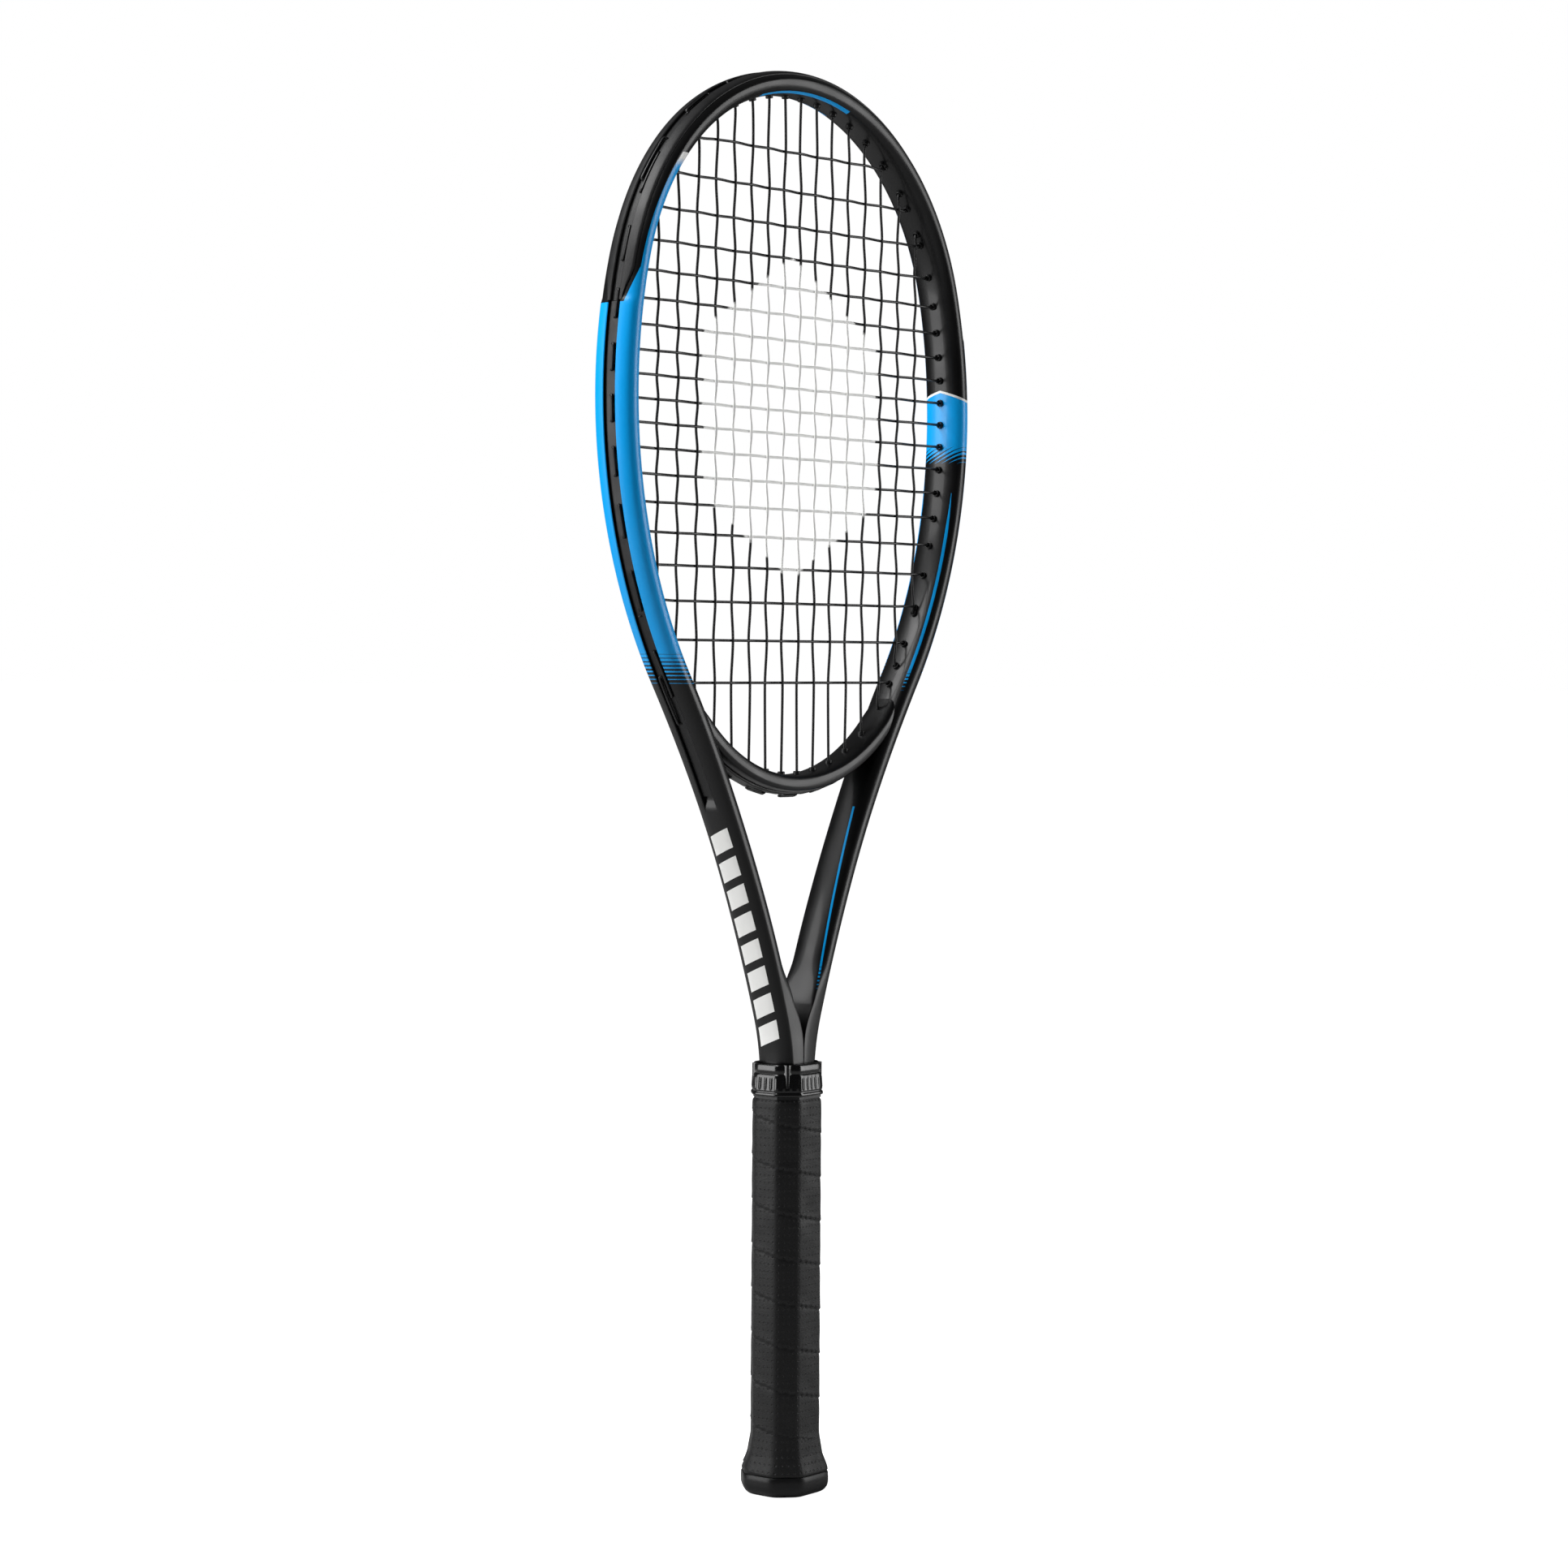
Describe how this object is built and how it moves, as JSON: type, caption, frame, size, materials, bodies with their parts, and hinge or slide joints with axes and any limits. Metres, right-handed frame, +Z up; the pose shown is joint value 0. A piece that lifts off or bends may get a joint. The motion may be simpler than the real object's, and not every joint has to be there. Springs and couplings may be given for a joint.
{
  "type": "tennis racket",
  "caption": "Strung adult tennis racket: oval hollow head, open throat, woven strings and a wrapped eight-sided handle with a flared butt.",
  "frame": {"origin": "centre of the butt end, on the handle's axis", "axes": "+Z up the racket from the butt to the head, X in the string plane, Y across it"},
  "size_m": [0.2673, 0.0388, 0.6858],
  "materials": {
    "lacquered_carbon": "gloss",
    "bridge_lacquer": "gloss",
    "core_foam": "matte",
    "moulded_nylon": "satin",
    "string_polymer": "satin",
    "handle_foam": "matte",
    "cap_plastic": "satin",
    "door_plastic": "satin",
    "staple_steel": "brushed",
    "backing_tape": "matte",
    "grip_leatherette": "satin",
    "finishing_tape": "satin",
    "collar_rubber": "gloss"
  },
  "bodies": {
    "racket": {"frame_tube": "lacquered_carbon", "throat_bridge": "bridge_lacquer", "bridge_foam_core": "core_foam", "bumper_guard": "moulded_nylon", "grommet_strip_left": "moulded_nylon", "grommet_strip_right": "moulded_nylon", "grommet_strip_throat": "moulded_nylon", "main_string": "string_polymer", "cross_string": "string_polymer", "handle_pallet": "handle_foam", "butt_cap": "cap_plastic", "cap_staples": "staple_steel", "grip_backing_tape": "backing_tape", "grip_wrap": "grip_leatherette", "finishing_tape": "finishing_tape"},
    "door": {"butt_cap_door": "door_plastic"},
    "collar": {"grip_collar": "collar_rubber"}
  },
  "joints": [
    {"name": "collar_slide", "type": "slide", "parent": "racket", "child": "collar", "axis": [0, 0, 1], "range_m": [0, 0.005]},
    {"name": "door_pull", "type": "slide", "parent": "racket", "child": "door", "axis": [0, 0, -1], "range_m": [0, 0.012]}
  ]
}
